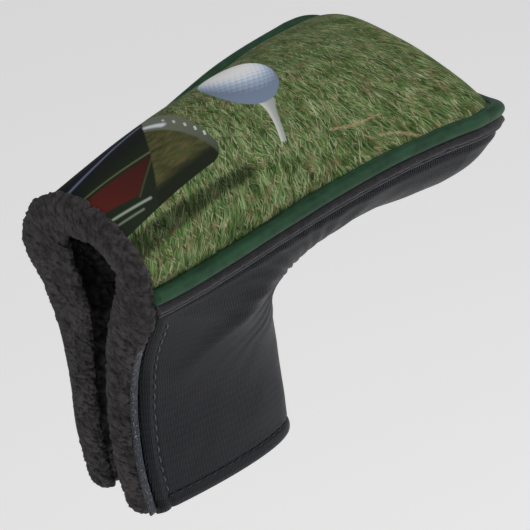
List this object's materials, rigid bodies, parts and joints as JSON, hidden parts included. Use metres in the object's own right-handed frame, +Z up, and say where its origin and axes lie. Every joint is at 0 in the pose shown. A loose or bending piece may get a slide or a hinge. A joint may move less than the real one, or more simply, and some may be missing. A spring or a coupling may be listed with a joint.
{
  "type": "putter head cover",
  "caption": "Padded putter head cover with a printed top panel, corded seam, ribbed vinyl sides, thick fleece lining and an open heel between two hinged neck flaps.",
  "frame": {"origin": "inner ceiling of the blade part, where the sole of the inverted putter head rests, half way along the blade", "axes": "+X from the open heel to the closed toe, -Y the front face, +Z up, away from the neck and the shaft"},
  "size_m": [0.1289, 0.0798, 0.1189],
  "materials": {
    "print": "printed grass and golf scene on smooth woven fabric, satin",
    "foam": "open foam padding",
    "fleece": "dense curled fleece pile, matt",
    "vinyl": "ribbed dark grey vinyl, satin",
    "piping": "smooth dark green piping, satin",
    "cord": "twisted cotton core",
    "welt": "felted charcoal welt tape, matt",
    "binding": "glossy dark binding"
  },
  "bodies": {
    "shell": {"top_panel": "print", "top_padding": "foam", "top_lining": "fleece", "front_side_panel": "vinyl", "back_side_panel": "vinyl", "front_side_lining": "fleece", "back_side_lining": "fleece", "piping_cord": "cord", "piping_cover": "piping", "seam_welt": "welt", "heel_cuff": "fleece"},
    "front_flap": {"front_flap_panel": "vinyl", "front_flap_lining": "fleece", "front_flap_cuff": "fleece", "front_flap_binding": "binding"},
    "back_flap": {"back_flap_panel": "vinyl", "back_flap_lining": "fleece", "back_flap_cuff": "fleece", "back_flap_binding": "binding"}
  },
  "joints": [
    {"name": "front_flap_open", "type": "hinge", "parent": "shell", "child": "front_flap", "pos_m": [-0.058, -0.027, -0.0281], "axis": [-0.6612, -0.1921, 0.7252], "range_deg": [0, 35], "stiffness_Nm_per_rad": 0.3},
    {"name": "back_flap_open", "type": "hinge", "parent": "shell", "child": "back_flap", "pos_m": [-0.058, 0.027, -0.0281], "axis": [0.6612, -0.1921, -0.7252], "range_deg": [0, 35], "stiffness_Nm_per_rad": 0.3}
  ]
}
